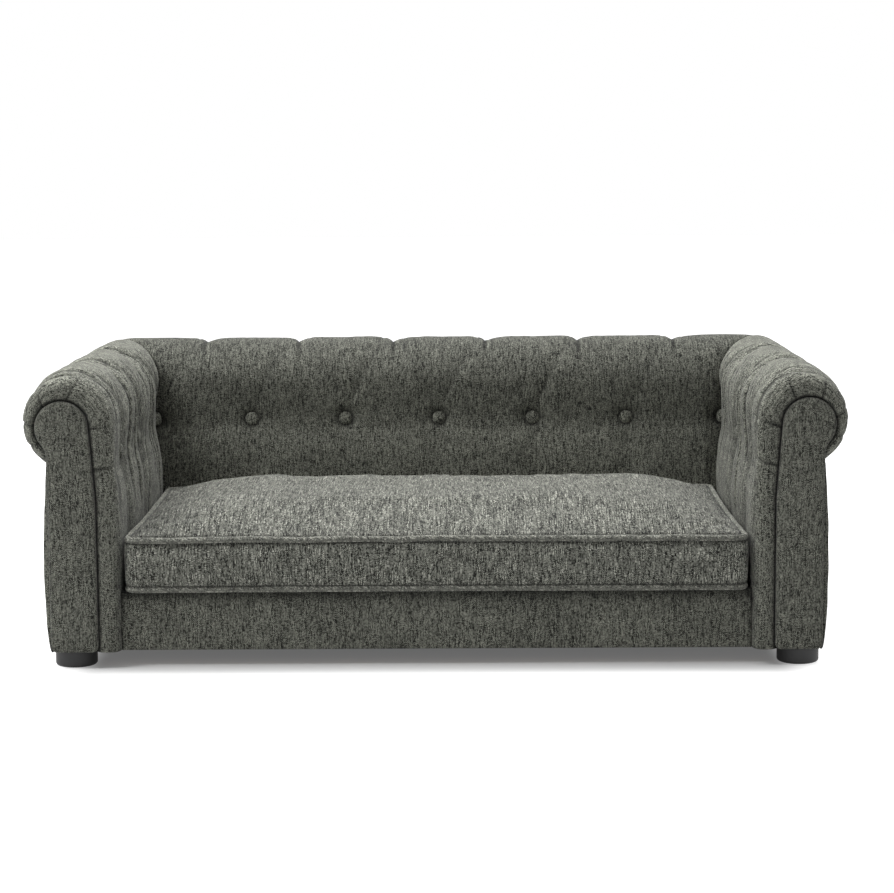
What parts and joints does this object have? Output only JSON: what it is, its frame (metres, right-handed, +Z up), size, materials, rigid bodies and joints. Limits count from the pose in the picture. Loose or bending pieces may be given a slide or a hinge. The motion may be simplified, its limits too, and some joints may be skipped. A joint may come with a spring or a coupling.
{
  "type": "dog sofa bed",
  "caption": "Low pet sofa with rolled arms, tufted pads with covered buttons, a loose welted seat cushion and short round feet.",
  "frame": {"origin": "middle of the footprint, on the floor under the feet", "axes": "+X along the width to the right as seen from the front, +Y to the back, +Z up"},
  "size_m": [1.06, 0.6, 0.384],
  "materials": {
    "frame_wood": "sawn, unfinished",
    "plywood": "sanded, unfinished",
    "foam": "open-cell foam",
    "foot_plastic": "satin black",
    "steel": "zinc plated",
    "brass": "turned",
    "zip_black": "woven tape and nylon coil",
    "dust_cloth": "non-woven cloth",
    "cushion_fabric": "slubby grey weave",
    "sofa_fabric": "slubby grey weave"
  },
  "bodies": {
    "root": {"arm_base_rail_left": "frame_wood", "arm_base_rail_right": "frame_wood", "back_base_rail": "frame_wood", "front_rail": "frame_wood", "rear_rail": "frame_wood", "side_rail_left": "frame_wood", "side_rail_right": "frame_wood", "deck_slats": "frame_wood", "seat_deck": "plywood", "arm_front_board_left": "frame_wood", "arm_front_board_right": "frame_wood", "arm_posts_left": "frame_wood", "arm_posts_right": "frame_wood", "back_posts": "frame_wood", "corner_posts": "frame_wood", "arm_top_rail_left": "frame_wood", "arm_top_rail_right": "frame_wood", "back_top_rail": "frame_wood", "arm_roll_core_left": "foam", "arm_roll_core_right": "foam", "back_roll_core": "foam", "arm_inner_board_left": "plywood", "arm_inner_board_right": "plywood", "back_inner_board": "plywood", "arm_pad_left": "sofa_fabric", "arm_pad_right": "sofa_fabric", "back_pad": "sofa_fabric", "facing_board_left": "plywood", "facing_board_right": "plywood", "arm_facing_left": "sofa_fabric", "arm_facing_right": "sofa_fabric", "outer_arm_panel_left": "sofa_fabric", "outer_arm_panel_right": "sofa_fabric", "outer_back_panel": "sofa_fabric", "front_rail_panel": "sofa_fabric", "back_buttons": "sofa_fabric", "arm_buttons_left": "sofa_fabric", "arm_buttons_right": "sofa_fabric", "corner_buttons": "sofa_fabric", "dust_cover": "dust_cloth", "foot_front_left": "foot_plastic", "foot_front_right": "foot_plastic", "foot_rear_left": "foot_plastic", "foot_rear_right": "foot_plastic", "foot_bolts": "steel", "foot_inserts": "brass", "deck_screws": "steel"},
    "cushion": {"cushion_cover": "cushion_fabric", "cushion_foam": "foam", "cushion_top_welt": "cushion_fabric", "cushion_bottom_welt": "cushion_fabric", "zip_tapes": "zip_black", "zip_teeth": "zip_black"},
    "zip_slider": {"zip_slider": "steel"},
    "zip_pull": {"zip_pull": "steel"}
  },
  "joints": [
    {"name": "cushion_lift", "type": "slide", "parent": "root", "child": "cushion", "axis": [0, 0, 1], "range_m": [0, 0.3]},
    {"name": "zip_slide", "type": "slide", "parent": "cushion", "child": "zip_slider", "axis": [-1, 0, 0], "range_m": [0, 0.576]},
    {"name": "zip_pull_swing", "type": "hinge", "parent": "zip_slider", "child": "zip_pull", "pos_m": [0.288, 0.1686, 0.13365], "axis": [0, 1, 0], "range_deg": [-80, 80]}
  ]
}
